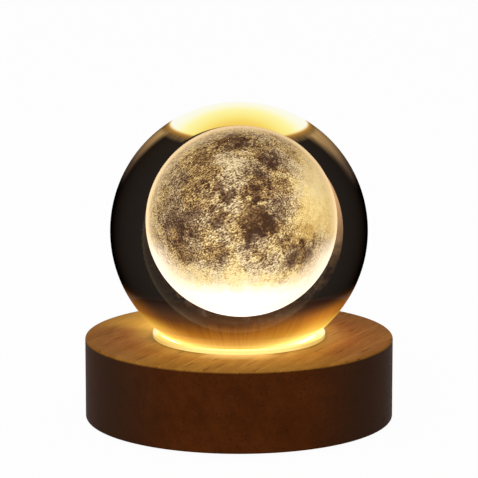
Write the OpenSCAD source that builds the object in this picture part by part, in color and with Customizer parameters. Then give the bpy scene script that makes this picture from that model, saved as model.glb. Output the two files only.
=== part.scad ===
// Crystal ball lamp: a glass ball with an engraved moon stands in a lit ring on a round wooden base.
// The origin is at the centre of the footprint, on the surface that the lamp stands on. +Z is up and
// -Y is the front. The power jack and the push button are at the back.

/* [Ball] */
// Diameter of the glass ball
ball_d = 60; // [57:0.5:62]
// Diameter of the engraved moon inside the glass
moon_d = 29.6; // [24:0.2:34]
// Height of the moon's centre above the ball's centre
moon_rise = 1.6; // [0:0.1:3]
// Distance of the moon's centre to the right of the ball's centre
moon_shift = 0.4; // [0:0.1:2]

/* [Wooden base] */
// Diameter of the turned base
base_d = 72; // [68:0.5:80]
// Height of the wood, without the feet
wood_h = 19.2; // [18.6:0.1:21]
// Radius of the eased edges of the wood
edge_r = 0.5; // [0.2:0.1:1]
// Width of the groove for the wires, under the lamp cup
groove_w = 5; // [4:0.2:6]
// Height of the groove above the bottom cover
groove_h = 3.6; // [3:0.1:4]

/* [Light ring] */
// Diameter of the clear skirt that drops into the wood
skirt_d = 38.4; // [37:0.1:39]
// Wall of the skirt
skirt_wall = 2.8; // [2.5:0.1:3]
// Width of the flange's lip, which shows on the wood round the skirt
flange_lip = 1; // [0.8:0.1:1.8]
// Height of the flange above the wood
flange_h = 1; // [0.7:0.1:1.3]
// Depth of the shelf for the seat ring, below the flange's top
shelf_depth = 2.5; // [2.3:0.1:2.8]
// Width of the bevel round the flange's inner edge
flange_bevel = 0.6; // [0.3:0.1:0.8]

/* [Seat ring] */
// Thickness of the silicone ring that the ball stands on
seat_t = 1.6; // [1.4:0.1:1.7]

/* [Lamp cup and diffuser] */
// Gap between the bottom of the ball and the diffuser
ball_gap = 1.25; // [0.8:0.05:1.5]
// Thickness of the milky diffuser
diffuser_t = 1.2; // [0.8:0.1:1.5]
// Height of the white cup that holds the lamps
cup_h = 4.4; // [4:0.1:5]
// Wall of the cup
cup_wall = 1.6; // [1.2:0.1:2]
// Floor of the cup
cup_floor = 1; // [0.8:0.1:1.2]

/* [Lamp board] */
// Thickness of the round lamp board
lamp_board_t = 1; // [0.8:0.1:1.2]
// Number of lamps
lamp_count = 6; // [3:1:8]
// Gap between the lamps' outer ends and the heads of the board's screws
lamp_screw_gap = 0.35; // [0.2:0.05:1.5]
// Length of one lamp, along the radius
lamp_l = 3.5; // [3:0.1:4]
// Width of one lamp
lamp_w = 2.8; // [2.6:0.1:3.2]
// Height of one lamp
lamp_h = 0.7; // [0.6:0.1:1]
// Diameter of the yellow window in a lamp
lamp_window_d = 2.2; // [1.8:0.1:2.4]

/* [Driver board] */
// Depth of the driver board
driver_l = 7.8; // [7.4:0.1:8.6]
// Thickness of the driver board
driver_t = 1.2; // [1:0.1:1.6]
// Height of the two ledges that the board is screwed up against, above the cover
ledge_h = 5; // [4.8:0.1:5.4]
// Width of each ledge under the board's ends
ledge_w = 3.6; // [3.5:0.1:4.2]
// Wood between the lamp cup's pocket and the driver board's space
web = 1.8; // [1.4:0.1:2.4]

/* [Power jack and push button] */
// Distance of the jack and of the button from the middle of the back
port_x = 4.9; // [4.7:0.1:5.6]
// Height of the jack's and the switch's bodies
port_body_h = 6.2; // [6:0.1:6.6]
// Width of the jack's body
jack_w = 6.4; // [6:0.1:6.8]
// Diameter of the hole in the jack
jack_hole_d = 3.7; // [3.6:0.1:4]
// Diameter of the jack's centre pin
jack_pin_d = 1.3; // [1.2:0.1:1.6]
// Diameter of the hole for the plug's grip
plug_hole_d = 8; // [7.6:0.1:8]
// Width of the switch's body
switch_w = 6.6; // [6.4:0.1:7]
// Length of the switch's body
switch_l = 6.2; // [6:0.1:6.3]
// Diameter of the push button
button_d = 5.6; // [5:0.1:5.8]
// Travel of the push button
button_travel = 1.5; // [1:0.1:1.6]
// Wall of the two liners in the wood
liner_wall = 0.75; // [0.6:0.05:0.9]

/* [Bottom cover and feet] */
// Width of the wooden rim round the cover
cover_rim = 3; // [2.5:0.1:3.4]
// Thickness of the cover
cover_t = 1.6; // [1.4:0.1:2]
// Height of the rubber feet
foot_h = 0.8; // [0.6:0.1:1.2]
// Diameter of one foot
foot_d = 8; // [6:0.2:9]
// Distance from the cover's edge to the feet
foot_inset = 3; // [2:0.1:4]
// Number of feet
foot_count = 4; // [3:1:6]

/* [Screws] */
// Diameter of the screws' shanks
screw_d = 1.8; // [1.6:0.1:2]
// Diameter of the screws' heads
head_d = 3.4; // [3:0.1:3.6]
// Height of a pan head
head_h = 1.1; // [0.8:0.1:1.2]
// Length of the screws under the lamp board
cup_screw_l = 5.4; // [4:0.2:6.4]
// Length of the screws under the driver board
driver_screw_l = 5; // [4:0.2:6]
// Length of the cover's screws
cover_screw_l = 8; // [6:0.5:10]
// Distance from the lamp board's edge to the heads of its screws
board_screw_edge = 1.6; // [1:0.1:2]
// Distance from the cover's edge to the middle of its screws
cover_screw_edge = 3.2; // [2.8:0.1:4]

/* [Wires] */
// Diameter of one insulated wire
wire_d = 1; // [0.8:0.1:1.1]
// Distance between the two wires' centrelines
wire_pitch = 1.8; // [1.6:0.1:2]

/* [Fits] */
// Gap between a piece and the pocket or hole that it drops into
fit = 0.1; // [0.05:0.05:0.15]
// Gap between the seat ring and what it lies on or carries
seat_fit = 0.1; // [0.05:0.01:0.15]
// Gap round the push button and its stem
slide_fit = 0.15; // [0.1:0.05:0.2]

/* [Hidden] */
$fn = 96;
tube_sides = 8;
eps = 0.01;

// Heights, from the feet up
wood_z = foot_h;
cover_top_z = wood_z + cover_t;
top_z = wood_z + wood_h;
cover_d = base_d - 2 * cover_rim;
cover_screw_r = cover_d / 2 - cover_screw_edge;
foot_circle_r = cover_d / 2 - foot_inset - foot_d / 2;
flange_top_z = top_z + flange_h;
shelf_z = flange_top_z - shelf_depth;
seat_z = shelf_z + seat_fit + seat_t / 2;

// The seat ring lies between the skirt's bore and the wall round the shelf.
skirt_bore_d = skirt_d - 2 * skirt_wall;
flange_d = skirt_d + 2 * flange_lip;
shelf_d = skirt_bore_d + 2 * (seat_t + 2 * fit);
seat_mean_r = skirt_bore_d / 4 + shelf_d / 4;
// The ball touches the seat ring all round, so the three radii give the height of its centre.
ball_z = seat_z + sqrt(pow(ball_d / 2 + seat_fit + seat_t / 2, 2) - pow(seat_mean_r, 2));
ball_bottom_z = ball_z - ball_d / 2;

// The lamp cup hangs below the ball, and the pocket in the wood is as deep as it needs.
diffuser_top_z = ball_bottom_z - ball_gap;
diffuser_z = diffuser_top_z - diffuser_t;
cup_z = diffuser_z - cup_h;
lamp_board_z = cup_z + cup_floor;
lamp_board_top_z = lamp_board_z + lamp_board_t;
pocket_d = skirt_d + 2 * fit;
cup_d = pocket_d - 2 * fit;
lamp_board_d = cup_d - 2 * cup_wall - 2 * fit;
wire_hole_d = groove_w;
cup_screw_r = lamp_board_d / 2 - board_screw_edge - head_d / 2;
lamp_circle_r = cup_screw_r - head_d / 2 - lamp_screw_gap - lamp_l / 2;

// The driver board's space is cut from below, behind the lamp cup.
pocket_front_y = pocket_d / 2 + web;
pocket_back_y = pocket_front_y + driver_l + 4 * fit;
back_wall = base_d / 2 - pocket_back_y;
ledge_z = cover_top_z + ledge_h;
port_side_gap = 0.6;
ledge_gap = 2 * port_x + max(jack_w, switch_w) + 2 * port_side_gap;
driver_w = ledge_gap + 2 * ledge_w;
driver_pocket_w = driver_w + 4 * fit;
driver_z = ledge_z - driver_t;
driver_front_y = pocket_front_y + 2 * fit;
driver_back_y = driver_front_y + driver_l;
port_roof_z = ledge_z + port_body_h + 4 * fit;
port_z = ledge_z + port_body_h / 2;
driver_screw_x = (ledge_gap + ledge_w) / 2;
driver_screw_y = (driver_front_y + driver_back_y) / 2;
jack_l = driver_l - 2 * fit;
jack_back_y = driver_back_y - jack_l;
jack_back_wall = 0.8;
switch_back_y = jack_back_y;
switch_front_y = switch_back_y + switch_l;
switch_back_wall = 1;

// The spring stands between the switch's back wall and the button's stem. At the end of the travel it
// can still give a little.
spring_wire_d = 0.3;
spring_d = 2.2;
spring_turns = 4;
spring_left = 0.4;
spring_back_y = switch_back_y + switch_back_wall;
stem_y = spring_back_y + (spring_turns + 1) * spring_wire_d + spring_left + button_travel;

// The button's cap ends level with the widest point of the wood, and stops before it meets the switch.
button_y = base_d / 2;
cap_stop_gap = 0.8;
cap_back_y = switch_front_y + button_travel + cap_stop_gap;
stem_d = 3.2;
switch_bore_d = stem_d + 2 * slide_fit;
button_hole_d = button_d + 2 * slide_fit;

screw_angles = [30, 150, 270];
screw_hole_d = screw_d + fit;
pin_d = 0.9;
pin_below = 1;
wire_bend_r = 1.2;
wire_low_z = cover_top_z + groove_h / 2;
wire_inset = 1.4;
wire_driver_y = driver_front_y + wire_inset;
// The lamp board's hole is as wide as the wires' bends.
lamp_board_hole_d = wire_pitch + 2 * wire_bend_r;
wire_reach = 2.6;
wire_pad_x = lamp_board_hole_d / 2 + wire_reach;

// Turns a child that stands on z = 0 and points up so that it points to the back, along +Y.
module to_back() {
    rotate([-90, 0, 0]) children();
}

// A disc whose two edges are rounded.
module eased_disc(d, h, r) {
    rotate_extrude()
        union() {
            square([d / 2 - r, h]);
            translate([0, r]) square([d / 2, h - 2 * r]);
            for (z = [r, h - r])
                translate([d / 2 - r, z]) circle(r);
        }
}

// A ring of rectangular section.
module ring(outer_d, inner_d, h) {
    difference() {
        cylinder(d = outer_d, h = h);
        translate([0, 0, -eps]) cylinder(d = inner_d, h = h + 2 * eps);
    }
}

// Copies a child at angles on a circle, and turns each with its angle.
module on_circle(r, angles) {
    for (a = angles)
        rotate([0, 0, a]) translate([r, 0, 0]) children();
}

function unit(v) = v / norm(v);

// Points of a quarter or shorter arc of radius r that rounds the corner b between a and c.
function rounded_corner(a, b, c, r, steps) =
    let (u = unit(b - a),
         v = unit(c - b),
         turn = acos(u * v),
         side = unit(v - (u * v) * u),
         start = b - r * tan(turn / 2) * u)
    [for (k = [0 : steps])
        let (t = turn * k / steps)
        start + r * sin(t) * u + r * (1 - cos(t)) * side];

// A route through corner points, with every inner corner rounded.
function rounded_route(p, r, steps) = [
    p[0],
    for (i = [1 : len(p) - 2])
        each rounded_corner(p[i - 1], p[i], p[i + 1], r, steps),
    p[len(p) - 1]
];

// A round tube along a route. Each ring stands square to the route, and is carried on without twist.
module tube(route, d, sides) {
    n = len(route);
    ahead = [for (i = [0 : n - 1]) unit(route[min(i + 1, n - 1)] - route[max(i - 1, 0)])];
    first = abs(ahead[0].z) < 0.9 ? cross(ahead[0], [0, 0, 1]) : cross(ahead[0], [0, 1, 0]);
    out = [
        for (i = 0, v = unit(first); i < n;
             i = i + 1, v = i < n ? unit(v - (v * ahead[i]) * ahead[i]) : v) v
    ];
    points = [
        for (i = [0 : n - 1], k = [0 : sides - 1])
            route[i] + d / 2 * (cos(360 * k / sides) * out[i]
                + sin(360 * k / sides) * cross(ahead[i], out[i]))
    ];
    skin = [
        for (i = [0 : n - 2], k = [0 : sides - 1])
            let (a = i * sides + k, b = i * sides + (k + 1) % sides)
            each [[a, a + sides, b], [b, a + sides, b + sides]]
    ];
    first_cap = [for (k = [1 : sides - 2]) [0, k, k + 1]];
    last = (n - 1) * sides;
    last_cap = [for (k = [1 : sides - 2]) [last, last + k + 1, last + k]];
    polyhedron(points, concat(skin, first_cap, last_cap));
}

// A pan-head screw whose head stands on z = 0 and whose shank points down.
module pan_screw(l) {
    cylinder(d = head_d, h = head_h);
    translate([0, 0, -l]) cylinder(d = screw_d, h = l + eps);
}

// A small box standing on z = 0, with its middle on the axis.
module chip(l, w, h) {
    translate([-l / 2, -w / 2, 0]) cube([l, w, h]);
}

// Glass ball, with the space that the engraving fills.
module crystal_ball() {
    color([0.8, 0.85, 0.85, 0.35])
        translate([0, 0, ball_z])
            difference() {
                sphere(d = ball_d);
                translate([moon_shift, 0, moon_rise]) sphere(d = moon_d + fit);
            }
}

// The cloud of fine cracks that draws the moon inside the glass.
module moon_engraving() {
    color([0.95, 0.82, 0.5])
        translate([moon_shift, 0, ball_z + moon_rise])
            sphere(d = moon_d);
}

// Loose silicone ring that the ball stands and turns on.
module seat_ring() {
    color([0.9, 0.88, 0.8])
        translate([0, 0, seat_z])
            rotate_extrude()
                translate([seat_mean_r, 0]) circle(d = seat_t);
}

// Clear ring with a flange on the wood, a skirt down to the diffuser and a shelf for the seat ring.
module light_ring() {
    color([1, 0.85, 0.45, 0.6])
        difference() {
            union() {
                translate([0, 0, top_z]) cylinder(d = flange_d, h = flange_h);
                translate([0, 0, diffuser_top_z]) cylinder(d = skirt_d, h = top_z - diffuser_top_z + eps);
            }
            translate([0, 0, diffuser_top_z - eps])
                cylinder(d = skirt_bore_d, h = flange_top_z - diffuser_top_z + 2 * eps);
            translate([0, 0, shelf_z]) cylinder(d = shelf_d, h = shelf_depth + eps);
            translate([0, 0, flange_top_z - flange_bevel])
                cylinder(d1 = shelf_d, d2 = shelf_d + 2 * flange_bevel, h = flange_bevel + eps);
        }
}

// Milky disc that spreads the light.
module diffuser() {
    color([0.98, 0.96, 0.88])
        translate([0, 0, diffuser_z]) cylinder(d = cup_d, h = diffuser_t);
}

// White cup on the pocket's floor, which holds the lamp board and throws its light up.
module lamp_cup() {
    color([0.95, 0.95, 0.93])
        difference() {
            translate([0, 0, cup_z]) cylinder(d = cup_d, h = cup_h);
            translate([0, 0, lamp_board_z])
                cylinder(d = cup_d - 2 * cup_wall, h = cup_h);
            translate([0, 0, cup_z - eps]) cylinder(d = wire_hole_d, h = cup_floor + 2 * eps);
            on_circle(cup_screw_r, screw_angles)
                translate([0, 0, cup_z - eps]) cylinder(d = screw_hole_d, h = cup_floor + 2 * eps);
        }
}

// Round board that carries the lamps.
module lamp_board() {
    color([0.93, 0.93, 0.9])
        difference() {
            translate([0, 0, lamp_board_z]) cylinder(d = lamp_board_d, h = lamp_board_t);
            translate([0, 0, lamp_board_z - eps])
                cylinder(d = lamp_board_hole_d, h = lamp_board_t + 2 * eps);
            on_circle(cup_screw_r, screw_angles)
                translate([0, 0, lamp_board_z - eps])
                    cylinder(d = screw_hole_d, h = lamp_board_t + 2 * eps);
        }
}

lamp_angles = [for (i = [0 : lamp_count - 1]) 360 * i / lamp_count];
lamp_window_h = lamp_h / 2;

// White bodies of the lamps, each with a round well.
module lamp_frames() {
    color([0.97, 0.96, 0.9])
        on_circle(lamp_circle_r, lamp_angles)
            translate([0, 0, lamp_board_top_z])
                difference() {
                    chip(lamp_l, lamp_w, lamp_h);
                    translate([0, 0, lamp_h - lamp_window_h])
                        cylinder(d = lamp_window_d, h = lamp_window_h + eps);
                }
}

// Yellow filling in the lamps' wells.
module lamp_windows() {
    color([1, 0.82, 0.25])
        on_circle(lamp_circle_r, lamp_angles)
            translate([0, 0, lamp_board_top_z + lamp_h - lamp_window_h])
                cylinder(d = lamp_window_d, h = lamp_window_h);
}

resistor_l = 2;
resistor_w = 1.2;
resistor_h = 0.5;

// Two chip resistors between the lamps and the wires.
module lamp_resistors() {
    color([0.15, 0.15, 0.15])
        for (s = [-1, 1])
            translate([0, s * lamp_circle_r / 2, lamp_board_top_z])
                chip(resistor_l, resistor_w, resistor_h);
}

// Screws through the lamp board and the cup's floor into the wood.
module lamp_board_screws() {
    color([0.75, 0.75, 0.75])
        on_circle(cup_screw_r, screw_angles)
            translate([0, 0, lamp_board_top_z]) pan_screw(cup_screw_l);
}

// Turned wood, pocketed from above for the lamp cup and from below for the driver board.
module wooden_base() {
    color([0.55, 0.36, 0.17])
        difference() {
            translate([0, 0, wood_z]) eased_disc(base_d, wood_h, edge_r);
            translate([0, 0, cup_z]) cylinder(d = pocket_d, h = top_z - cup_z + eps);
            translate([0, 0, wood_z - eps]) cylinder(d = cover_d + 2 * fit, h = cover_t + eps);
            translate([0, 0, cover_top_z - eps]) cylinder(d = wire_hole_d, h = cup_z - cover_top_z + 2 * eps);
            translate([-groove_w / 2, 0, cover_top_z - eps])
                cube([groove_w, pocket_front_y + eps, groove_h + eps]);
            translate([-driver_pocket_w / 2, pocket_front_y, cover_top_z - eps])
                cube([driver_pocket_w, pocket_back_y - pocket_front_y, ledge_h + eps]);
            translate([-ledge_gap / 2, pocket_front_y, cover_top_z - eps])
                cube([ledge_gap, pocket_back_y - pocket_front_y, port_roof_z - cover_top_z + eps]);
            translate([-port_x, pocket_back_y - eps, port_z])
                to_back() cylinder(d = plug_hole_d + 2 * liner_wall + fit, h = base_d);
            translate([port_x, pocket_back_y - eps, port_z])
                to_back() cylinder(d = button_hole_d + 2 * liner_wall + fit, h = base_d);
            on_circle(cup_screw_r, screw_angles)
                translate([0, 0, lamp_board_top_z - cup_screw_l - fit])
                    cylinder(d = screw_hole_d, h = cup_screw_l);
            for (s = [-1, 1])
                translate([s * driver_screw_x, driver_screw_y, ledge_z - eps])
                    cylinder(d = screw_hole_d, h = driver_screw_l - driver_t + fit);
            on_circle(cover_screw_r, screw_angles)
                translate([0, 0, cover_top_z - eps])
                    cylinder(d = screw_hole_d, h = cover_screw_l - cover_t + fit);
        }
}

// Holes for the terminals of the jack and the switch, at each place on the driver board.
pin_inset = 1.1;
jack_pin_places = [
    [-port_x - jack_w / 2 + pin_inset, jack_back_y + pin_inset],
    [-port_x + jack_w / 2 - pin_inset, jack_back_y + pin_inset],
    [-port_x, jack_back_y + jack_l - pin_inset]
];
switch_pin_places = [
    for (s = [-1, 1], y = [switch_back_y + pin_inset, switch_front_y - pin_inset])
        [port_x + s * (switch_w / 2 - pin_inset), y]
];

// Small board that joins the jack, the switch and the wires.
module driver_board() {
    color([0.12, 0.4, 0.2])
        difference() {
            translate([-driver_w / 2, driver_front_y, driver_z]) cube([driver_w, driver_l, driver_t]);
            for (p = concat(jack_pin_places, switch_pin_places))
                translate([p.x, p.y, driver_z - eps]) cylinder(d = pin_d + fit, h = driver_t + 2 * eps);
            for (s = [-1, 1])
                translate([s * driver_screw_x, driver_screw_y, driver_z - eps])
                    cylinder(d = screw_hole_d, h = driver_t + 2 * eps);
        }
}

regulator_l = 2.8;
regulator_w = 1.4;
regulator_h = 1;
small_l = 1.6;
small_w = 0.8;
small_h = 0.45;
chip_gap = 0.6;

// Regulator chip and two resistors between the jack and the switch.
module driver_components() {
    middle_x = (jack_w - switch_w) / 4;
    color([0.1, 0.1, 0.1])
        translate([middle_x, 0, ledge_z]) {
            translate([0, driver_back_y - fit - regulator_l / 2 - chip_gap, 0])
                chip(regulator_w, regulator_l, regulator_h);
            for (i = [0, 1])
                translate([0, driver_front_y + chip_gap + small_w / 2 + i * (small_w + chip_gap), 0])
                    chip(small_l, small_w, small_h);
        }
}

// Screws that hold the driver board up against its ledges.
module driver_screws() {
    color([0.75, 0.75, 0.75])
        for (s = [-1, 1])
            translate([s * driver_screw_x, driver_screw_y, driver_z])
                rotate([180, 0, 0]) pan_screw(driver_screw_l);
}

// Moulded block of the power jack, open to the back.
module jack_body() {
    color([0.08, 0.08, 0.08])
        difference() {
            translate([-port_x - jack_w / 2, jack_back_y, ledge_z]) cube([jack_w, jack_l, port_body_h]);
            translate([-port_x, jack_back_y + jack_back_wall, port_z])
                to_back() cylinder(d = jack_hole_d, h = jack_l);
        }
}

jack_pin_inset = 0.9;
jack_pin_tip_l = 0.5;

// Centre pin of the power jack, a little short of the jack's mouth.
module jack_pin() {
    straight_l = jack_l - jack_back_wall - jack_pin_inset - jack_pin_tip_l;
    color([0.85, 0.8, 0.6])
        translate([-port_x, jack_back_y + jack_back_wall, port_z])
            to_back() {
                cylinder(d = jack_pin_d, h = straight_l);
                translate([0, 0, straight_l])
                    cylinder(d1 = jack_pin_d, d2 = jack_pin_d / 2, h = jack_pin_tip_l);
            }
}

// Terminals that pass through the driver board.
module terminals(places) {
    for (p = places)
        translate([p.x, p.y, driver_z - pin_below]) cylinder(d = pin_d, h = driver_t + pin_below);
}

module jack_terminals() {
    color([0.8, 0.8, 0.78]) terminals(jack_pin_places);
}

module switch_terminals() {
    color([0.8, 0.8, 0.78]) terminals(switch_pin_places);
}

// A thin sleeve through the back wall, cut flush with the round wood.
module liner(x, bore_d) {
    color([0.08, 0.08, 0.08])
        intersection() {
            translate([x, pocket_back_y, port_z])
                to_back() ring(bore_d + 2 * liner_wall, bore_d, back_wall);
            cylinder(d = base_d - 2 * fit, h = top_z);
        }
}

module jack_liner() {
    liner(-port_x, plug_hole_d);
}

module button_liner() {
    liner(port_x, button_hole_d);
}

// Switch body, with the bore that the button's stem and the spring lie in.
module switch_body() {
    color([0.2, 0.2, 0.22])
        difference() {
            translate([port_x - switch_w / 2, switch_back_y, ledge_z])
                cube([switch_w, switch_l, port_body_h]);
            translate([port_x, spring_back_y, port_z])
                to_back() cylinder(d = switch_bore_d, h = switch_l);
        }
}

// Return spring behind the stem, closed between the switch's back wall and the stem.
module switch_spring() {
    first_y = spring_back_y + fit + spring_wire_d / 2;
    rise = stem_y - fit - spring_wire_d / 2 - first_y;
    steps = 12 * spring_turns;
    r = (spring_d - spring_wire_d) / 2;
    route = [
        for (i = [0 : steps])
            let (a = 360 * spring_turns * i / steps)
            [port_x + r * cos(a), first_y + rise * i / steps, port_z + r * sin(a)]
    ];
    color([0.75, 0.75, 0.75]) tube(route, spring_wire_d, 6);
}

// Push button: a cap in the liner and a stem in the switch.
module push_button() {
    cap_edge = 0.4;
    cap_l = button_y - cap_back_y;
    color([0.12, 0.12, 0.12])
        union() {
            translate([port_x, cap_back_y, port_z])
                to_back() {
                    cylinder(d = button_d, h = cap_l - cap_edge);
                    translate([0, 0, cap_l - cap_edge])
                        cylinder(d1 = button_d, d2 = button_d - 2 * cap_edge, h = cap_edge);
                }
            translate([port_x, stem_y, port_z])
                to_back() cylinder(d = stem_d, h = cap_back_y - stem_y + eps);
        }
}

// Route of one wire: down from the driver board, along the groove, up through the lamp board, out to its pad.
function wire_route(s) =
    let (x = s * wire_pitch / 2,
         pad_z = lamp_board_top_z + wire_d / 2 + fit)
    rounded_route([
        [x, wire_driver_y, driver_z],
        [x, wire_driver_y, wire_low_z],
        [x, 0, wire_low_z],
        [x, 0, pad_z],
        [s * wire_pad_x, 0, pad_z]
    ], wire_bend_r, 5);

module wire_red() {
    color([0.75, 0.08, 0.06]) tube(wire_route(1), wire_d, tube_sides);
}

module wire_black() {
    color([0.1, 0.1, 0.1]) tube(wire_route(-1), wire_d, tube_sides);
}

solder_r = 0.75;
solder_cone_h = 0.5;
solder_cone_rim = 0.15;
wire_bore_gap = 0.02;

// Solder domes on the lamp board's pads, and cones round the wires under the driver board.
module solder_joints() {
    color([0.8, 0.8, 0.82])
        for (s = [-1, 1]) {
            translate([s * (wire_pad_x + solder_r + fit), 0, lamp_board_top_z])
                intersection() {
                    sphere(r = solder_r);
                    cylinder(r = 2 * solder_r, h = 2 * solder_r);
                }
            translate([s * wire_pitch / 2, wire_driver_y, driver_z - solder_cone_h])
                difference() {
                    cylinder(d1 = wire_d + 2 * solder_cone_rim, d2 = wire_pitch - fit, h = solder_cone_h);
                    translate([0, 0, -eps])
                        cylinder(d = wire_d + 2 * wire_bore_gap, h = solder_cone_h + 2 * eps);
                }
        }
}

countersink_h = (head_d - screw_d) / 2;

// A countersunk screw whose head ends level with z = 0 and whose shank points up.
module countersunk_screw(l) {
    cylinder(d1 = head_d, d2 = screw_d, h = countersink_h);
    cylinder(d = screw_d, h = l);
}

// Flat cover let into the bottom of the wood.
module bottom_cover() {
    color([0.1, 0.1, 0.1])
        difference() {
            translate([0, 0, wood_z]) cylinder(d = cover_d, h = cover_t);
            on_circle(cover_screw_r, screw_angles) {
                translate([0, 0, wood_z - eps]) cylinder(d = screw_hole_d, h = cover_t + 2 * eps);
                translate([0, 0, wood_z - eps])
                    cylinder(d1 = head_d + fit, d2 = screw_d + fit, h = countersink_h + eps);
            }
        }
}

module cover_screws() {
    color([0.75, 0.75, 0.75])
        on_circle(cover_screw_r, screw_angles)
            translate([0, 0, wood_z]) countersunk_screw(cover_screw_l);
}

foot_edge = 0.3;

// Rubber feet stuck to the cover, each with an eased lower edge.
module feet() {
    color([0.15, 0.15, 0.15])
        on_circle(foot_circle_r, [for (i = [0 : foot_count - 1]) 45 + 360 * i / foot_count]) {
            cylinder(d1 = foot_d - 2 * foot_edge, d2 = foot_d, h = foot_edge);
            translate([0, 0, foot_edge]) cylinder(d = foot_d, h = foot_h - foot_edge);
        }
}

crystal_ball();
moon_engraving();
seat_ring();
light_ring();
diffuser();
lamp_cup();
lamp_board();
lamp_frames();
lamp_windows();
lamp_resistors();
lamp_board_screws();
wooden_base();
driver_board();
driver_components();
driver_screws();
jack_body();
jack_pin();
jack_terminals();
jack_liner();
switch_body();
switch_terminals();
switch_spring();
push_button();
button_liner();
wire_red();
wire_black();
solder_joints();
bottom_cover();
cover_screws();
feet();
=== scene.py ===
"""Looks of a crystal ball lamp: a glass ball with an engraved moon, in a lit ring on a round wooden base."""
import bmesh
import bpy
import math
import numpy as np
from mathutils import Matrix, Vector


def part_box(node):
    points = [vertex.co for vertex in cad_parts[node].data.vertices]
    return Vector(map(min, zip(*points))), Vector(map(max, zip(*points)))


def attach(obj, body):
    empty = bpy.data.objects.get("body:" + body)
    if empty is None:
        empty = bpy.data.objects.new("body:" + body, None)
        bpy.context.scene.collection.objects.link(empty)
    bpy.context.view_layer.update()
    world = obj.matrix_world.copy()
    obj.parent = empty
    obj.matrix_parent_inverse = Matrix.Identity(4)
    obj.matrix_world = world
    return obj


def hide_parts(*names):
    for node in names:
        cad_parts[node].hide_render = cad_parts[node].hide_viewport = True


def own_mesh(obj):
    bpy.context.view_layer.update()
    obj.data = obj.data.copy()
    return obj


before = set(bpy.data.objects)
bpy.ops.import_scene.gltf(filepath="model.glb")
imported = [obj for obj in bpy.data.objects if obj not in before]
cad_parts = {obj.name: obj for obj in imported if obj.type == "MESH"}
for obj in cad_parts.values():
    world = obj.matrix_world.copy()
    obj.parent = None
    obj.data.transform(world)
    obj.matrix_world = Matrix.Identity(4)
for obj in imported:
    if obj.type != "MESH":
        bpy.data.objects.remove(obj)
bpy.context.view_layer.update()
mm = 0.001

# Camera. The photograph is square and taken from a little above, through a long lens. The lens, in the
# photograph's own pixels, and the distance come from the outlines of the ball and of the base.
photo_side_px = 478
lens_px = 3379
camera_tilt = math.radians(11.39)
camera_distance = 0.787
aim = Vector((0, 0, 0.0430))

optics = bpy.data.cameras.new("camera")
optics.sensor_width = 36
optics.lens = optics.sensor_width * lens_px / photo_side_px
camera = bpy.data.objects.new("camera", optics)
camera.location = aim + camera_distance * Vector((0, -math.cos(camera_tilt), math.sin(camera_tilt)))
camera.rotation_euler = (math.pi / 2 - camera_tilt, 0, 0)
bpy.context.scene.collection.objects.link(camera)
bpy.context.scene.camera = camera
bpy.context.scene.view_settings.view_transform = "Standard"


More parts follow.
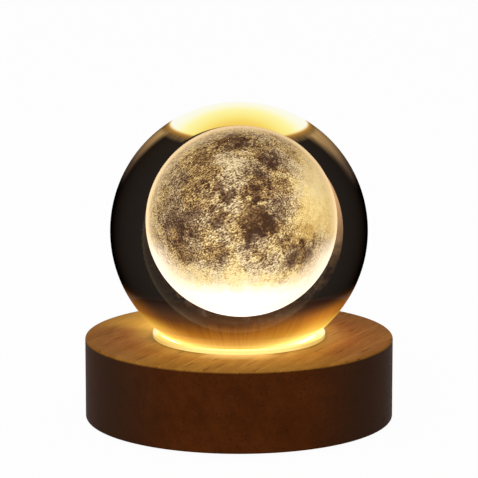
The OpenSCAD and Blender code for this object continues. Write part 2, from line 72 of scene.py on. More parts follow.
# Studio. A wide pale floor, an even white surround and one big soft lamp high on the left. The surround and
# the floor look white to the eye and in the glass, while they light the lamp at a plain level.
class Shade:
    """One socket of a material's nodes. Arithmetic on it adds Math nodes, and put adds any other node."""

    def __init__(self, tree, socket=None):
        self.tree = tree
        self.socket = socket

    def put(self, kind, settings, sockets, out=0):
        """Adds a node of this kind: its settings first, then the values or links of its sockets."""
        made = self.tree.nodes.new("ShaderNode" + kind)
        for name, value in settings.items():
            if name == "stops":
                stops = made.color_ramp.elements
                stops.remove(stops[1])
                stops[0].position = value[0][0]
                stops[0].color = (*value[0][1], 1)
                for at, colour in value[1:]:
                    stops.new(at).color = (*colour, 1)
            else:
                setattr(made, name, value)
        self.fill(made, sockets)
        return Shade(self.tree, made.outputs[out])

    def fill(self, made, sockets):
        """Sets or links the sockets of a node."""
        for name, value in sockets.items():
            if isinstance(value, Shade):
                self.tree.links.new(value.socket, made.inputs[name])
            elif hasattr(value, "__len__") and made.inputs[name].type == "RGBA":
                made.inputs[name].default_value = (*value, 1)
            else:
                made.inputs[name].default_value = value

    def maths(self, operation, *others):
        """A Math node on this value, and on the others where the operation takes more than one."""
        return self.put("Math", {"operation": operation}, dict(enumerate((self, *others))))

    def __add__(self, other):
        return self.maths("ADD", other)

    def __sub__(self, other):
        return self.maths("SUBTRACT", other)

    def __rsub__(self, other):
        return self.put("Math", {"operation": "SUBTRACT"}, {0: other, 1: self})

    def __mul__(self, other):
        return self.maths("MULTIPLY", other)

    def __truediv__(self, other):
        return self.maths("DIVIDE", other)

    __radd__ = __add__
    __rmul__ = __mul__

    def clamped(self):
        return self.put("Clamp", {}, {"Value": self})

    def rising(self, low, high):
        """0 below low, 1 above high, and a smooth step between them. low may be the larger."""
        return self.put("MapRange", {"interpolation_type": "SMOOTHSTEP"},
                        {"Value": self, "From Min": low, "From Max": high})

    def ramp(self, *stops):
        """The colour at this value, between stops of (value from 0 to 1, colour)."""
        return self.put("ValToRGB", {"stops": stops}, {"Fac": self})

    def mix(self, first, second):
        """The first colour where this value is 0, and the second where it is 1."""
        return self.put("Mix", {"data_type": "RGBA"}, {0: self, 6: first, 7: second}, out=2)

    def axis(self, name):
        return self.put("SeparateXYZ", {}, {"Vector": self}, name)

    def stretched(self, x, y, z):
        """This place or colour, times three numbers."""
        return self.put("VectorMath", {"operation": "MULTIPLY"}, {0: self, 1: (x, y, z)})

    def scaled(self, share):
        """This place or colour, times one value."""
        return self.put("VectorMath", {"operation": "SCALE"}, {0: self, "Scale": share})

    def length(self):
        return self.put("VectorMath", {"operation": "LENGTH"}, {0: self}, "Value")

    def off_axis(self):
        """The distance of this place from the lamp's upright axis."""
        return self.stretched(1, 1, 0).length()

    def noise(self, scale, detail=2.0, roughness=0.5):
        """Cloudy noise round 0.5, with its main lumps 1 / scale metres wide."""
        return self.put("TexNoise", {},
                        {"Vector": self, "Scale": scale, "Detail": detail, "Roughness": roughness})

    def bump(self, depth):
        """A normal from this height, whose full range is depth metres."""
        return self.put("Bump", {}, {"Height": self, "Distance": depth})

    def finish(self, **sockets):
        """Gives the surface its values. A socket's name has _ for each space."""
        surface = self.tree.nodes["Principled BSDF"]
        self.fill(surface, {name.replace("_", " "): value for name, value in sockets.items()})

    def laid_over(self, share, colour):
        """Covers a share of each place of the finished surface with a plain glow of the given colour."""
        nodes = self.tree.nodes
        glow = nodes.new("ShaderNodeBsdfPrincipled")
        both = nodes.new("ShaderNodeMixShader")
        self.fill(glow, {"Base Color": (0, 0, 0), "Roughness": 0.5, "Specular IOR Level": 0.0,
                         "Emission Color": colour, "Emission Strength": 1.0})
        self.fill(both, {0: share})
        self.tree.links.new(nodes["Principled BSDF"].outputs[0], both.inputs[1])
        self.tree.links.new(glow.outputs[0], both.inputs[2])
        self.tree.links.new(both.outputs[0], nodes["Material Output"].inputs["Surface"])


def new_material(name):
    """A new material, and the place on the piece in metres, which its patterns follow."""
    material = bpy.data.materials.new(name)
    material.use_nodes = True
    place = Shade(material.node_tree).put("TexCoord", {}, {}, "Object")
    return material, place


surround_light = 0.5
floor_whiteness = 0.97
floor_size = 5.0
floor_grey = 0.82
soft_lamp_size = 0.9
soft_lamp_power = 6.5
soft_lamp_place = Vector((-0.30, -0.85, 1.05))

surround = bpy.data.worlds.new("surround")
bpy.context.scene.world = surround
surround.use_nodes = True
background = surround.node_tree.nodes["Background"]
background.inputs["Color"].default_value = (1, 1, 1, 1)


def seen_directly(tree):
    """1 for what the eye, a polish or glass sees, and 0 for light that falls on a surface."""
    path = Shade(tree)
    rays = [path.put("LightPath", {}, {}, name)
            for name in ("Is Camera Ray", "Is Glossy Ray", "Is Transmission Ray")]
    return (rays[0] + rays[1] + rays[2]).clamped()


brightness = seen_directly(surround.node_tree) * (1 - surround_light) + surround_light
surround.node_tree.links.new(brightness.socket, background.inputs["Strength"])

floor_mesh = bpy.data.meshes.new("floor")
half = floor_size / 2
corners = [(-half, -half, 0), (half, -half, 0), (half, half, 0), (-half, half, 0)]
floor_mesh.from_pydata(corners, [], [(0, 1, 2, 3)])
floor = bpy.data.objects.new("floor", floor_mesh)
bpy.context.scene.collection.objects.link(floor)
floor_material, place = new_material("pale floor")
place.finish(Base_Color=(floor_grey, floor_grey, floor_grey), Roughness=0.9, Specular_IOR_Level=0.0)
tree = floor_material.node_tree
white = place.put("Emission", {}, {"Color": (1, 1, 1), "Strength": 1.0})
lit = Shade(tree, tree.nodes["Principled BSDF"].outputs[0])
both = place.put("MixShader", {}, {0: seen_directly(tree) * floor_whiteness, 1: lit, 2: white})
tree.links.new(both.socket, tree.nodes["Material Output"].inputs["Surface"])
floor_mesh.materials.append(floor_material)

soft_lamp = bpy.data.lights.new("soft lamp", "AREA")
soft_lamp.size = soft_lamp_size
soft_lamp.energy = soft_lamp_power
soft_box = bpy.data.objects.new("soft lamp", soft_lamp)
soft_box.location = soft_lamp_place
soft_box.rotation_euler = (aim - soft_lamp_place).to_track_quat("-Z", "Y").to_euler()
soft_box.visible_glossy = False
soft_box.visible_transmission = False
bpy.context.scene.collection.objects.link(soft_box)

# Wooden base. One turned disc of oiled open-pored wood, painted lighter on its top as painted light and
# darker round its side as painted shade, with a pocket for the lamp cup from above and a space for the driver
# board from below. The light that the ring throws on its top is painted on it as a glow.
wood_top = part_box("wooden_base")[1].z
wood_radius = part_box("wooden_base")[1].x
grain_turn = math.radians(27)
pith = (-55 * mm, -35 * mm)
ring_spacing = 3.4 * mm
pore_across = 0.75 * mm
pore_along = 15 * mm
side_shade_edge = 0.35 * mm
year_wander = 9 * mm
light_start, light_full, light_end = 19 * mm, 24 * mm, 36 * mm
ring_light = 0.72


def dress(name, material):
    """Gives a CAD node its finish."""
    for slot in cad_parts[name].material_slots:
        slot.material = material


wood, place = new_material("oiled wood")
# Growth rings round a pith outside the disc, fibres, flecks, and long pores, each a stretched Voronoi cell.
grain = place.put("Mapping", {}, {"Vector": place, "Rotation": (0, 0, grain_turn)})
wander = grain.stretched(1, 0.25, 1).noise(60, 3)
across = grain.axis("X") - pith[0] + (wander - 0.5) * year_wander
height = grain.axis("Z") - pith[1]
from_pith = (across * across + height * height).maths("SQRT")
year = (from_pith / ring_spacing).maths("FRACT")
late_wood = year.rising(0.35, 0.95) * (1 - year.rising(0.95, 1.0))
fibre = grain.stretched(1, 0.03, 1).noise(2600, 3, 0.6)
fleck = grain.stretched(1, 0.22, 1).noise(1100, 3, 0.75).rising(0.40, 0.62)
crumb = grain.stretched(1, 0.45, 1).noise(3200, 2, 0.8).rising(0.34, 0.66)
figure = grain.stretched(1, 0.12, 1).noise(150, 4, 0.6)
cells = grain.stretched(1 / pore_across, 1 / pore_along, 1 / pore_across)
bent = cells.put("VectorMath", {"operation": "ADD"},
                 {0: cells, 1: grain.noise(700, 1).mix((0, 0, 0), (0.25, 0.0, 0.25))})
pore_distance = bent.put("TexVoronoi", {}, {"Vector": bent, "Scale": 1.0})
pore_chance = bent.put("TexVoronoi", {}, {"Vector": bent, "Scale": 1.0}, "Color").axis("X")
pore = (1 - pore_distance.rising(0.10, 0.27)) * pore_chance.rising(0.35, 0.55)
# The top's lighter wood is painted light, and the darker copy of the same wood round the side is painted
# shade.
lit_top_wood = figure.ramp((0.25, (0.26, 0.100, 0.014)), (0.5, (0.38, 0.156, 0.023)),
                         (0.72, (0.45, 0.208, 0.036)))
lit_top_wood = (late_wood * 0.45).mix(lit_top_wood, (0.26, 0.088, 0.010))
lit_top_wood = (fibre.rising(0.35, 0.7) * 0.35).mix(lit_top_wood, (0.23, 0.086, 0.012))
lit_top_wood = ((1 - fleck) * 0.35).mix(lit_top_wood, (0.20, 0.066, 0.009))
lit_top_wood = ((1 - crumb) * 0.30).mix(lit_top_wood, (0.17, 0.055, 0.007))
lit_top_wood = (pore * 0.85).mix(lit_top_wood, (0.055, 0.018, 0.004))
shaded_side_wood = figure.ramp((0.3, (0.070, 0.0165, 0.0030)), (0.7, (0.110, 0.0260, 0.0045)))
shaded_side_wood = (late_wood * 0.12 + (1 - fleck) * 0.25).mix(shaded_side_wood, (0.040, 0.0120, 0.0035))
shaded_side_wood = (pore * 0.6).mix(shaded_side_wood, (0.010, 0.0035, 0.0015))
# The side is painted greyer towards left and right, a painted grazing reflection and shade.
painted_grazing_grey = place.axis("X").maths("ABSOLUTE").rising(wood_radius * 0.35, wood_radius * 0.85)
shaded_side_wood = (painted_grazing_grey * 0.85).mix(shaded_side_wood, (0.035, 0.0165, 0.0085))
top = place.axis("Z").rising(wood_top - 2 * side_shade_edge, wood_top - side_shade_edge / 3)
# The ring's light on the top is painted as a glow, and fades outwards. It is strong in front and behind and
# weak at the sides, with a painted golden patch behind on the left.
out = place.off_axis()
forward = place.axis("Y").maths("ABSOLUTE") / out
frontal = forward.rising(0.2, 1.0)
painted_ring_light = ((1 - out.rising(light_full - mm, light_end) * 0.5) * out.rising(light_start, light_full)
        * (frontal * frontal * frontal * 0.95 + 0.08) * top * ring_light)
painted_ring_light = lit_top_wood.scaled(painted_ring_light).stretched(0.92, 1.32, 1.5)
behind_left = (place.axis("Y") - place.axis("X")) * math.sqrt(0.5) / out
painted_warm_glows = [
    (out.rising(27 * mm, 20.5 * mm), (0.05, 0.085, 0.022)),
    (behind_left.rising(0.80, 1.0) * out.rising(40 * mm, 25 * mm), (0.44, 0.25, 0.030)),
    (behind_left.rising(0.55, 0.95) * out.rising(28 * mm, 21 * mm), (0.22, 0.14, 0.018))]
for share, golden in painted_warm_glows:
    painted_ring_light = top.put("Mix", {"data_type": "RGBA", "blend_type": "ADD"}, {0: share * top, 6: painted_ring_light, 7: golden},
                   out=2)
# A painted pool of the ring's light on the wood, close in front of the ring and behind it.
painted_near_glow = out.rising(25.5 * mm, 20 * mm) * forward.rising(0.89, 0.99) * top
painted_ring_light = painted_near_glow.mix(painted_ring_light, (0.62, 0.43, 0.13))
relief = fibre * 0.25 + late_wood * 0.15 - pore * 0.6
place.finish(Base_Color=top.mix(shaded_side_wood, lit_top_wood), Roughness=fibre * 0.2 + pore * 0.2 + 0.42,
             Specular_IOR_Level=0.01, Emission_Color=painted_ring_light, Emission_Strength=1.0,
             Normal=relief.bump(0.06 * mm))
dress("wooden_base", wood)

# Bottom cover. A flat disc of black moulded plastic with a fine spark texture. It is let into the wood from
# below, and three countersunk screws hold it.


def moulded(name, colour, shade, rough, grain_size, depth):
    """Moulded plastic or rubber: two close shades in clouds, and a fine skin of lumps of grain_size."""
    material, place = new_material(name)
    cloud = place.noise(150, 3, 0.6)
    skin = place.noise(1 / grain_size, 2, 0.5)
    place.finish(Base_Color=cloud.rising(0.35, 0.65).mix(shade, colour),
                 Roughness=skin * 0.2 + (rough - 0.1), Specular_IOR_Level=0.35, Normal=skin.bump(depth))
    return material


black_plastic = moulded("black plastic", (0.016, 0.015, 0.015), (0.011, 0.010, 0.010), 0.5, 0.25 * mm,
                        0.03 * mm)
dress("bottom_cover", black_plastic)

# Cover screws, lamp board screws and driver screws. Small zinc-plated wood screws with a cross recess and a
# thread. The cover's three are countersunk, and the others have pan heads.


def turned(profile, steps=96, centre=(0, 0)):
    """A surface of revolution: each profile point (radius, height) goes round the upright axis at centre."""
    angle = np.linspace(0, 2 * np.pi, steps, endpoint=False)
    radius, height = np.asarray(profile, float).T[:, :, None]
    x = centre[0] + radius * np.cos(angle)
    y = centre[1] + radius * np.sin(angle)
    return np.stack([x, y, height + 0 * angle], -1)


def eased(corners, radius, steps=5, closed=False):
    """A profile with its corners rounded: a curve leaves each corner's two sides at the same distance."""
    corners = np.asarray(corners, float)
    before, after = np.roll(corners, 1, 0), np.roll(corners, -1, 0)
    lengths = [np.linalg.norm(other - corners, axis=1, keepdims=True) for other in (before, after)]
    reach = np.minimum(radius, np.minimum(*lengths) * 0.45)
    if not closed:
        reach[[0, -1]] = 0
    start = corners + (before - corners) / np.maximum(lengths[0], 1e-9) * reach
    end = corners + (after - corners) / np.maximum(lengths[1], 1e-9) * reach
    t = np.linspace(0, 1, steps)[None, :, None]
    curve = (1 - t) ** 2 * start[:, None] + 2 * t * (1 - t) * corners[:, None] + t ** 2 * end[:, None]
    return curve.reshape(-1, 2)


def surface(name, grids, material, body, slot, nodes, along=False, sharp=35):
    """One piece from grids of points, rows by columns. The last column joins the first, and with along the
    last row joins the first. Doubled points, as at a pole, are merged, and the faces are turned outwards."""
    vertices, faces, count = [], [], 0
    for grid in grids:
        rows, columns = grid.shape[:2]
        at = count + np.arange(rows * columns).reshape(rows, columns)
        at = np.concatenate([at, at[:, :1]], 1)
        if along:
            at = np.concatenate([at, at[:1]], 0)
        quads = np.stack([at[:-1, :-1], at[:-1, 1:], at[1:, 1:], at[1:, :-1]], -1)
        vertices.append(grid.reshape(-1, 3))
        faces.append(quads.reshape(-1, 4))
        count += rows * columns
    mesh = bpy.data.meshes.new(name)
    mesh.from_pydata(np.concatenate(vertices).tolist(), [], np.concatenate(faces).tolist())
    work = bmesh.new()
    work.from_mesh(mesh)
    bmesh.ops.remove_doubles(work, verts=work.verts, dist=1e-7)
    bmesh.ops.recalc_face_normals(work, faces=work.faces)
    work.to_mesh(mesh)
    work.free()
    mesh.shade_smooth()
    mesh.set_sharp_from_angle(angle=math.radians(sharp))
    mesh.materials.append(material)
    piece = bpy.data.objects.new(name, mesh)
    bpy.context.scene.collection.objects.link(piece)
    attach(piece, body)
    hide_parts(*nodes)
    return piece


def bare_metal(name, colour, rough, streak):
    """Plated metal: faint clouds of tone, and fine drawn streaks, stretched by streak along x, y and z."""
    material, place = new_material(name)
    cloud = place.noise(400, 3, 0.6)
    lines = place.stretched(*streak).noise(5000, 2, 0.6)
    dull = tuple(0.7 * c for c in colour)
    place.finish(Base_Color=(cloud.rising(0.4, 0.75) * 0.6).mix(colour, dull), Metallic=1.0,
                 Roughness=lines * 0.2 + cloud * 0.15 + (rough - 0.17), Normal=lines.bump(0.01 * mm))
    return material


screw_radius = 0.9 * mm
core_radius = 0.62 * mm
thread_pitch = 0.75 * mm
head_radius = 1.7 * mm
pan_height = 1.1 * mm
recess_depth = 0.7 * mm
recess_arm = 1.05 * mm
recess_width = 0.28 * mm
countersink_depth = 0.8 * mm
tip_length = 1.2 * mm


def screw(place, length, up, countersunk):
    """A screw whose head's outer face is at place. The head is a dome or a cone with two crossed slots that
    get shallower outwards, and the thread is a ridge that climbs one pitch a turn, along the shank."""
    angle = np.linspace(0, 2 * np.pi, 72, endpoint=False)[None, :]
    r = np.linspace(0, 1, 14)[:, None] * head_radius * (0.97 if countersunk else 0.9)
    x, y = r * np.cos(angle), r * np.sin(angle)
    dome = 0 * r if countersunk else 0.25 * mm * (r / head_radius) ** 2
    slope = np.clip(1 - r / recess_arm, 0, 1) ** 0.5
    slot_wall = np.minimum(abs(x), abs(y)) / recess_width
    slots = recess_depth * slope / (1 + np.exp(14 * (slot_wall - 1)))
    face = np.stack([x, y, dome + slots + 0 * angle], -1)
    if countersunk:
        sides = turned([(head_radius, 0.04 * mm), (head_radius, 0.12 * mm),
                        (screw_radius, countersink_depth)], 72)
        shank_start, whole = countersink_depth, length
    else:
        sides = turned([(head_radius * 0.97, 0.3 * mm), (head_radius, 0.5 * mm), (head_radius, pan_height),
                        (screw_radius, pan_height)], 72)
        shank_start, whole = pan_height, length + pan_height
    rows = int((whole - shank_start) / thread_pitch * 8)
    depth = np.linspace(shank_start, whole - tip_length, rows)[:, None]
    climb = (depth / thread_pitch - angle / (2 * np.pi)) % 1
    ridge = np.clip(1 - abs(climb - 0.5) / 0.28, 0, 1)
    radius = core_radius + (screw_radius - core_radius) * ridge
    shank = np.stack([radius * np.cos(angle), radius * np.sin(angle), depth + 0 * angle], -1)
    tip = turned([(core_radius, whole - tip_length), (core_radius * 0.6, whole - 0.5 * mm), (0, whole)], 72)
    points = np.concatenate([face, sides, shank, tip])
    points[..., 2] *= 1 if up else -1
    return points + np.asarray(place)


zinc = bare_metal("zinc-plated steel", (0.62, 0.62, 0.60), 0.36, (1, 1, 0.2))


def screws(name, node, angles, circle, length, face_z, up, countersunk):
    """The screws of one node, at angles in degrees on a circle, with their heads' outer faces at face_z."""
    turns = [math.radians(angle) for angle in angles]
    places = [(circle * math.cos(turn), circle * math.sin(turn), face_z) for turn in turns]
    grids = [screw(place, length, up, countersunk) for place in places]
    surface(name, grids, zinc, "base", "zinc_steel", [node])


three_ways = (30, 150, 270)
cover_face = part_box("bottom_cover")[0].z
cover_screw_circle = 29.8 * mm
cover_screw_length = 8 * mm
screws("countersunk_screws", "cover_screws", three_ways, cover_screw_circle, cover_screw_length, cover_face,
       up=True, countersunk=True)
board_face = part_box("lamp_board")[1].z
board_screw_circle = 14.2 * mm
board_screw_length = 5.4 * mm
screws("pan_head_screws", "lamp_board_screws", three_ways, board_screw_circle, board_screw_length,
       board_face + pan_height, up=False, countersunk=False)
driver_low, driver_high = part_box("driver_board")
driver_screw_x = 10.6 * mm
driver_screw_y = (driver_low.y + driver_high.y) / 2
driver_screw_circle = math.hypot(driver_screw_x, driver_screw_y)
driver_screw_angle = math.degrees(math.atan2(driver_screw_y, driver_screw_x))
driver_screw_ways = (driver_screw_angle, 180 - driver_screw_angle)
driver_screw_length = 5 * mm
screws("driver_pan_screws", "driver_screws", driver_screw_ways, driver_screw_circle, driver_screw_length,
       driver_low.z - pan_height, up=True, countersunk=False)

# Rubber feet. Four round black pads stuck to the cover, a little softer at their edges and faintly dished
# underneath.
foot_radius = 4 * mm
foot_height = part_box("feet")[1].z
foot_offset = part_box("feet")[1].x - foot_radius
dish_radius = 2.6 * mm
dish_depth = 0.08 * mm
rubber = moulded("black rubber", (0.022, 0.021, 0.020), (0.014, 0.013, 0.013), 0.75, 0.4 * mm, 0.04 * mm)
foot_profile = eased([(0, dish_depth), (dish_radius, dish_depth), (dish_radius + 0.4 * mm, 0),
                      (foot_radius - 0.2 * mm, 0), (foot_radius, 0.3 * mm), (foot_radius, foot_height),
                      (0, foot_height)], 0.2 * mm)
feet = [turned(foot_profile, 72, (foot_offset * sx, foot_offset * sy)) for sx in (-1, 1) for sy in (-1, 1)]
surface("rubber_feet", feet, rubber, "base", "black_rubber", ["feet"])

# Lamp cup. A shallow cup of white moulded plastic, screwed to the floor of the wood's pocket together with
# the lamp board. It throws the lamps' light up.
white_plastic = moulded("white plastic", (0.86, 0.86, 0.84), (0.80, 0.80, 0.78), 0.55, 0.3 * mm, 0.02 * mm)
dress("lamp_cup", white_plastic)

# Lamp board. A round white-lacquered board with rings of track under the lacquer, six square lamps, two
# chip resistors and two soldered wires. The lamps are white frames with a yellow filling that lights up.
track_spacing = 2.6 * mm
lacquer, place = new_material("white lacquered board")
round_way = (place.off_axis() / track_spacing).maths("FRACT")
track = round_way.rising(0.12, 0.16) * (1 - round_way.rising(0.8, 0.84))
speck = place.noise(3000, 2)
place.finish(Base_Color=(track * 0.5).mix((0.74, 0.75, 0.70), (0.84, 0.84, 0.81)),
             Roughness=speck * 0.15 + 0.25, Coat_Weight=0.3, Normal=(track + speck * 0.2).bump(0.03 * mm))
dress("lamp_board", lacquer)
lamp_white = moulded("lamp frame white", (0.88, 0.87, 0.82), (0.82, 0.80, 0.74), 0.4, 0.15 * mm, 0.01 * mm)
dress("lamp_frames", lamp_white)
component = moulded("black component", (0.020, 0.020, 0.022), (0.012, 0.012, 0.013), 0.45, 0.12 * mm,
                    0.015 * mm)
dress("lamp_resistors", component)
dress("driver_components", component)
phosphor, place = new_material("yellow lamp filling")
crumbs = place.noise(9000, 2, 0.7)
place.finish(Base_Color=crumbs.rising(0.3, 0.7).mix((0.85, 0.55, 0.08), (0.95, 0.75, 0.20)), Roughness=0.35,
             Emission_Color=crumbs.rising(0.2, 0.8).mix((1.0, 0.66, 0.25), (1.0, 0.80, 0.45)),
             Emission_Strength=12.0, Normal=crumbs.bump(0.01 * mm))
dress("lamp_windows", phosphor)
solder = bare_metal("solder", (0.66, 0.67, 0.69), 0.28, (1, 1, 1))
dress("solder_joints", solder)

# Driver board. A small green board under two wooden ledges, which carries the jack, the switch, a regulator
# and two resistors.
weave_scale = 420.0
green, place = new_material("green lacquered board")
threads = [place.put("TexWave", {"bands_direction": way}, {"Vector": place, "Scale": weave_scale})
           for way in "XY"]
weave = (threads[0] + threads[1]) * 0.5
cells = place.stretched(420, 260, 0)
copper = cells.put("TexVoronoi", {"feature": "F1", "distance": "CHEBYCHEV"}, {"Vector": cells, "Scale": 1.0},
                   "Color").axis("X").rising(0.45, 0.5)
place.finish(Base_Color=copper.mix((0.010, 0.085, 0.030), (0.020, 0.150, 0.055)),
             Roughness=weave * 0.1 + 0.25, Coat_Weight=0.4, Normal=(copper + weave * 0.15).bump(0.03 * mm))
dress("driver_board", green)

# Power jack. A black moulded block with a plated centre pin and three tinned terminals, behind a black
# sleeve in the wood that takes the plug's grip.
dress("jack_body", black_plastic)
dress("jack_liner", black_plastic)
brass = bare_metal("plated brass", (0.80, 0.66, 0.36), 0.25, (1, 0.2, 1))
dress("jack_pin", brass)
tin = bare_metal("tinned metal", (0.70, 0.70, 0.68), 0.35, (1, 1, 0.2))
dress("jack_terminals", tin)
dress("switch_terminals", tin)

# Push button. A black moulded cap with a dished face and a turned-down edge, on a stem that slides in the
# switch. A small spring behind the stem sends it back.
button_low, button_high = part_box("push_button")
button_x = (button_low.x + button_high.x) / 2
button_z = (button_low.z + button_high.z) / 2
button_radius = (button_high.x - button_low.x) / 2
stem_radius = 1.6 * mm
cap_back = 30.0 * mm
dish = 0.35 * mm


def lying(profile, steps, x, z):
    """A surface of revolution about a level axis through x and z: (radius, distance to the back)."""
    grid = turned(profile, steps)
    return np.stack([x + grid[..., 0], grid[..., 2], z + grid[..., 1]], -1)


dished = [(button_radius * part, button_high.y - 0.15 * mm - dish * (1 - part ** 2))
          for part in np.linspace(0, 0.76, 8)]
turned_down = eased(
    [(button_radius * 0.80, button_high.y - 0.02 * mm), (button_radius - 0.25 * mm, button_high.y),
     (button_radius, button_high.y - 0.45 * mm), (button_radius, cap_back), (stem_radius, cap_back),
     (stem_radius, button_low.y), (0, button_low.y)], 0.2 * mm)
button_grid = lying(np.concatenate([dished, turned_down]), 96, button_x, button_z)
surface("dished_button", [button_grid], black_plastic, "button", "black_plastic", ["push_button"])
dress("button_liner", black_plastic)
grey_plastic = moulded("grey plastic", (0.055, 0.055, 0.060), (0.040, 0.040, 0.044), 0.5, 0.2 * mm, 0.02 * mm)
dress("switch_body", grey_plastic)

# Return spring. Four turns of steel wire between the switch and the stem. Its inner end stays in the switch.
spring_wire = 0.15 * mm
spring_turns = 4
spring_low, spring_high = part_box("switch_spring")


def swept(route, radius, sides=14):
    """A round tube: a circle square to the route at each of its points, carried along without twist."""
    route = np.asarray(route, float)
    ahead = np.gradient(route, axis=0)
    ahead /= np.linalg.norm(ahead, axis=1, keepdims=True)
    out = np.empty_like(route)
    out[0] = np.cross(ahead[0], (0, 0, 1) if abs(ahead[0][2]) < 0.9 else (0, 1, 0))
    for i in range(1, len(route)):
        out[i] = out[i - 1] - (out[i - 1] @ ahead[i]) * ahead[i]
    out /= np.linalg.norm(out, axis=1, keepdims=True)
    over = np.cross(ahead, out)
    angle = np.linspace(0, 2 * np.pi, sides, endpoint=False)[None, :, None]
    skin = route[:, None] + radius * (np.cos(angle) * out[:, None] + np.sin(angle) * over[:, None])
    ends = [np.repeat(route[[i]][:, None], sides, 1) for i in (0, -1)]
    return np.concatenate([ends[0], skin, ends[1]])


spring_middle = (spring_low + spring_high) / 2
coil_radius = (spring_high.x - spring_low.x) / 2 - spring_wire
t = np.linspace(0, 1, 36 * spring_turns)
coil_angle = 2 * np.pi * spring_turns * t
spring_route = np.stack([
    spring_middle.x + coil_radius * np.cos(coil_angle),
    spring_low.y + spring_wire + (spring_high.y - spring_low.y - 2 * spring_wire) * t,
    spring_middle.z + coil_radius * np.sin(coil_angle)], -1)
spring_steel = bare_metal("spring steel", (0.55, 0.55, 0.56), 0.30, (1, 1, 1))
spring = surface("return_spring", [swept(spring_route, spring_wire, 10)], spring_steel, "base",
                 "spring_steel", ["switch_spring"])
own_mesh(spring)

# Lamp wires. A red and a black insulated wire go down from the driver board, along the groove under the
# pocket, up through the cup and out to their pads.
wire_radius = 0.5 * mm
wire_bend = 1.2 * mm


def routed(corners, radius, steps=8):
    """A route through corners, each replaced by a curve that leaves both sides at the same distance."""
    corners = np.asarray(corners, float)
    t = np.linspace(0, 1, steps)[:, None]
    parts = [corners[:1]]
    for a, b, c in zip(corners, corners[1:], corners[2:]):
        start = b + (a - b) / np.linalg.norm(a - b) * radius
        end = b + (c - b) / np.linalg.norm(c - b) * radius
        parts.append((1 - t) ** 2 * start + 2 * t * (1 - t) * b + t ** 2 * end)
    parts.append(corners[-1:])
    return np.concatenate(parts)


for colour, side, skin in (("red", 1, ((0.42, 0.012, 0.008), (0.34, 0.009, 0.006))),
                           ("black", -1, ((0.018, 0.018, 0.018), (0.012, 0.012, 0.012)))):
    low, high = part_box("wire_" + colour)
    near_x = (low.x if side > 0 else high.x) + side * wire_radius
    far_x = high.x if side > 0 else low.x
    low_z, pad_z = low.z + wire_radius, high.z - wire_radius
    back_y = high.y - wire_radius
    insulation = moulded(colour + " insulation", *skin, 0.4, 0.3 * mm, 0.01 * mm)
    wire_route = routed([(near_x, back_y, driver_low.z), (near_x, back_y, low_z), (near_x, 0, low_z),
                         (near_x, 0, pad_z), (far_x, 0, pad_z)], wire_bend)
    surface("lead_" + colour, [swept(wire_route, wire_radius)], insulation, "base", colour + "_insulation",
            ["wire_" + colour])

# Diffuser. A milky acrylic disc that lies on the cup and spreads the light of the lamps. It glows all over,
# and a little more above each of the six lamps.
lamp_circle = 10.4 * mm
lamp_count = 6
spot_size = 4.2 * mm
diffuser_light = 20.0
milk, place = new_material("milky acrylic")
turn = place.axis("Y").maths("ARCTAN2", place.axis("X"))
sector = 2 * math.pi / lamp_count
folded = ((turn / sector + 0.5).maths("FRACT") - 0.5) * sector
out = place.off_axis()
# The distance to the nearest lamp follows from the law of cosines.
distance_squared = out * out + lamp_circle ** 2 - out * folded.maths("COSINE") * (2 * lamp_circle)
spot = 1 - distance_squared.maths("SQRT").rising(0.0, spot_size)
haze = place.noise(900, 3, 0.6)
place.finish(Base_Color=haze.mix((0.84, 0.82, 0.74), (0.90, 0.88, 0.82)), Roughness=haze * 0.2 + 0.35,
             Emission_Color=spot.mix((0.90, 0.72, 0.36), (1.0, 0.88, 0.58)), Emission_Strength=diffuser_light,
             Normal=haze.bump(0.01 * mm))
low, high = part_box("diffuser")
diffuser_profile = eased([(0, low.z), (high.y, low.z), (high.y, high.z), (0, high.z)], 0.2 * mm)
surface("milky_disc", [turned(diffuser_profile, 160)], milk, "base", "milky_acrylic", ["diffuser"])

# Light ring. Polished clear acrylic: a skirt down to the diffuser, a shelf for the seat ring and a flange on
# the wood. The light runs up inside it and leaves at its top and at the bevel, and less at its outer wall.
low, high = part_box("light_ring")
skirt_radius = 19.2 * mm
bore_radius = 16.4 * mm
shelf_radius = 18.2 * mm
bevel = 0.6 * mm
shelf_z = high.z - 2.5 * mm
ring_corners = [
    (bore_radius, low.z), (skirt_radius, low.z), (skirt_radius, wood_top), (high.y, wood_top),
    (high.y, high.z), (shelf_radius + bevel, high.z), (shelf_radius, high.z - bevel), (shelf_radius, shelf_z),
    (bore_radius, shelf_z)]
acrylic, place = new_material("lit clear acrylic")
out = place.off_axis()
inwards = out.rising(high.y - 0.05 * mm, high.y - 0.9 * mm)
ripple = place.stretched(1, 1, 0.2).noise(700, 3, 0.6)
glow = (inwards * 0.92 + (ripple - 0.5) * 0.25).clamped()
shine = glow.ramp((0.0, (0.93, 0.73, 0.25)), (0.45, (0.84, 0.60, 0.14)), (0.8, (0.84, 0.62, 0.14)),
                  (1.0, (1.0, 0.88, 0.38)))
# The glow is painted weaker at the left and right sides, a painted shade.
sides = (place.axis("X").maths("ABSOLUTE") / out).rising(0.45, 0.95) * 0.75
shine = sides.mix(shine, (0.46, 0.28, 0.05))
place.finish(Base_Color=glow.mix((0.50, 0.30, 0.08), (0.60, 0.44, 0.18)), Roughness=ripple * 0.15 + 0.1,
             Coat_Weight=0.5, Emission_Color=shine, Emission_Strength=1.0, Normal=ripple.bump(0.02 * mm))
surface("lit_ring", [turned(eased(ring_corners, 0.18 * mm, 4, True), 192)], acrylic, "base", "clear_acrylic",
        ["light_ring"], along=True)

